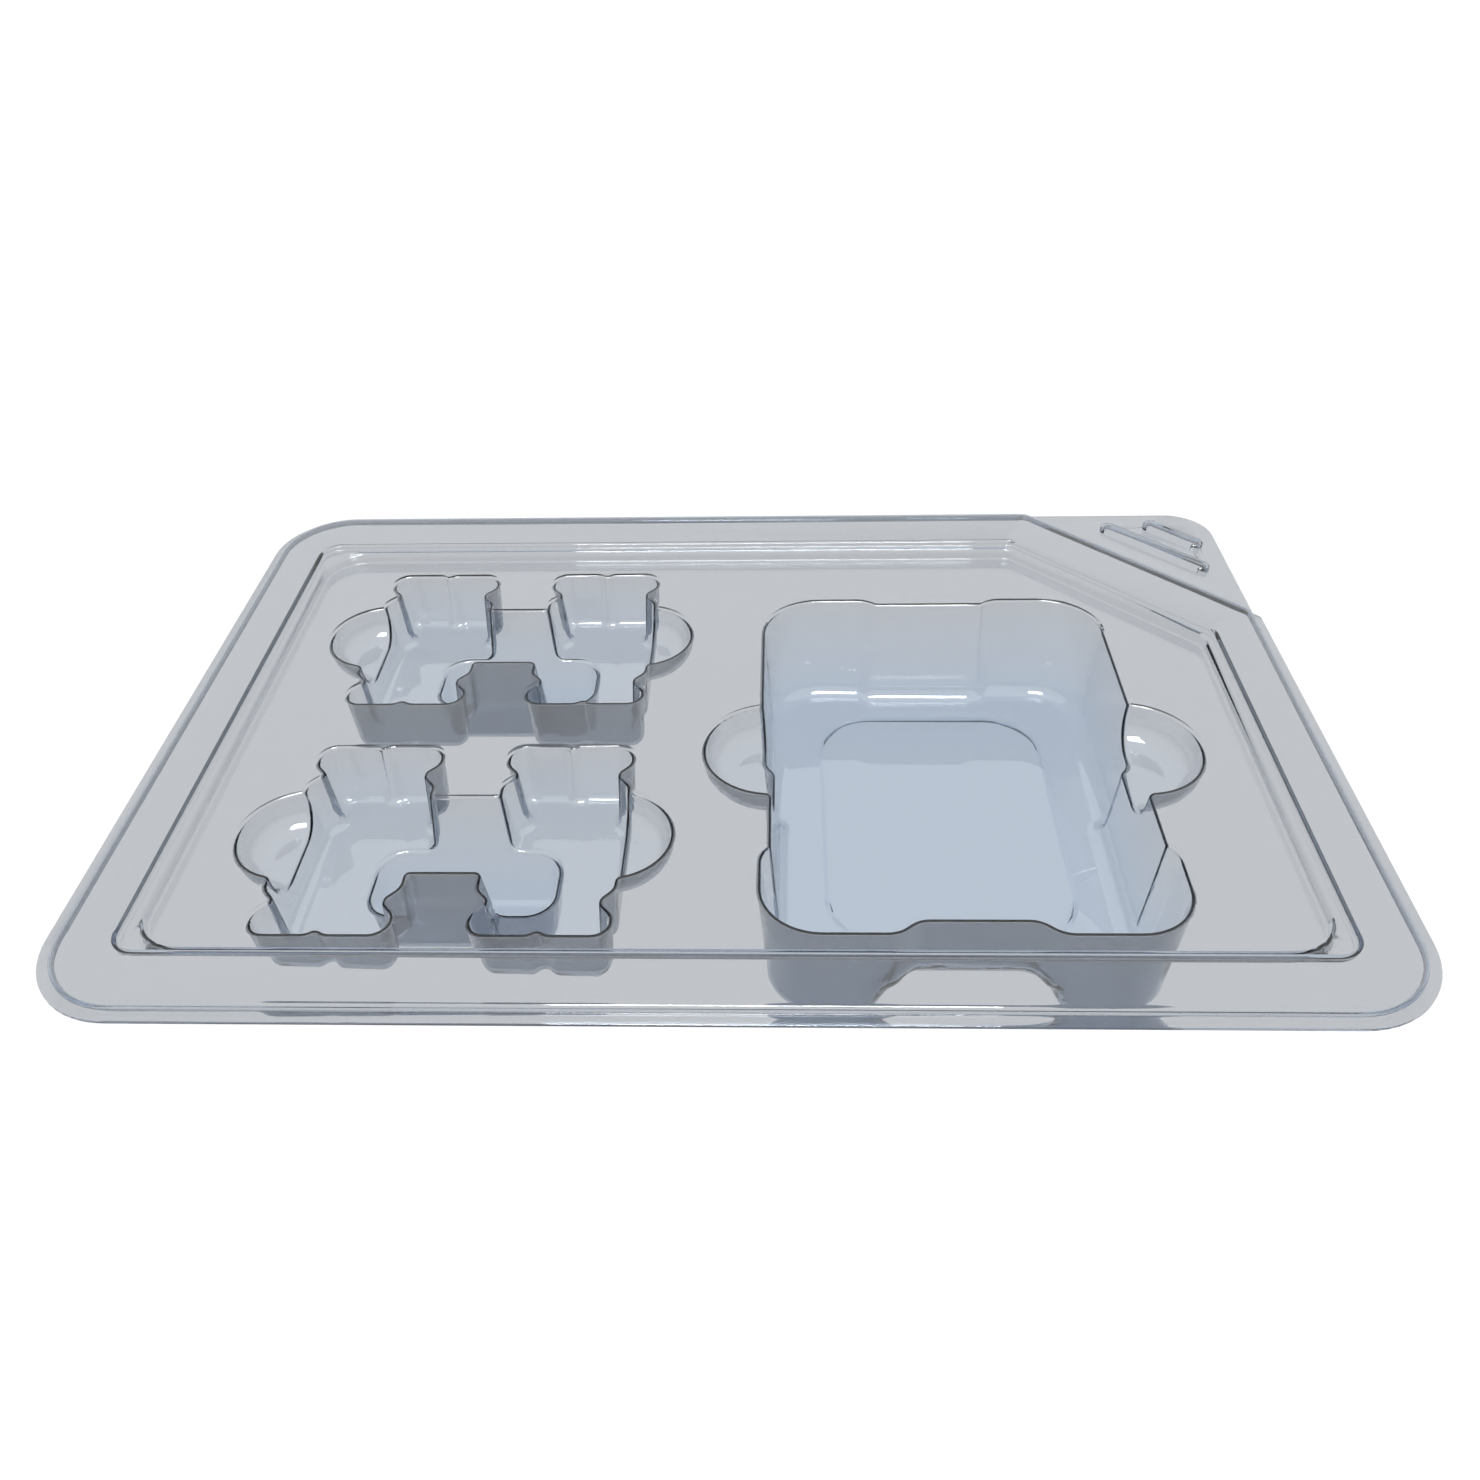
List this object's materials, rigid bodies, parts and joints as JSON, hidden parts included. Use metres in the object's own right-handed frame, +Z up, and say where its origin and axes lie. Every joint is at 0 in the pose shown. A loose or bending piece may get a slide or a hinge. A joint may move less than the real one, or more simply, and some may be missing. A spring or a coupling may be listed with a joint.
{
  "type": "thermoformed plastic tray",
  "caption": "Clear thermoformed packing tray with a large rounded pocket, twin-legged pockets with deep wells, finger scoops, a stepped sealing rim and a ribbed peel corner",
  "frame": {"origin": "centre of the outline seen from above, at the height of the lowest face, the underside of the large pocket and of the wells", "axes": "+X runs along the long sides towards the large pocket, +Y across the tray towards the edge with the peel corner, +Z up, out of the pockets"},
  "size_m": [0.26, 0.1784, 0.0339],
  "materials": {
    "clear_sheet": "clear smooth thermoformed plastic with a slight blue tint"
  },
  "bodies": {
    "root": {"tray": "clear_sheet"}
  },
  "joints": []
}
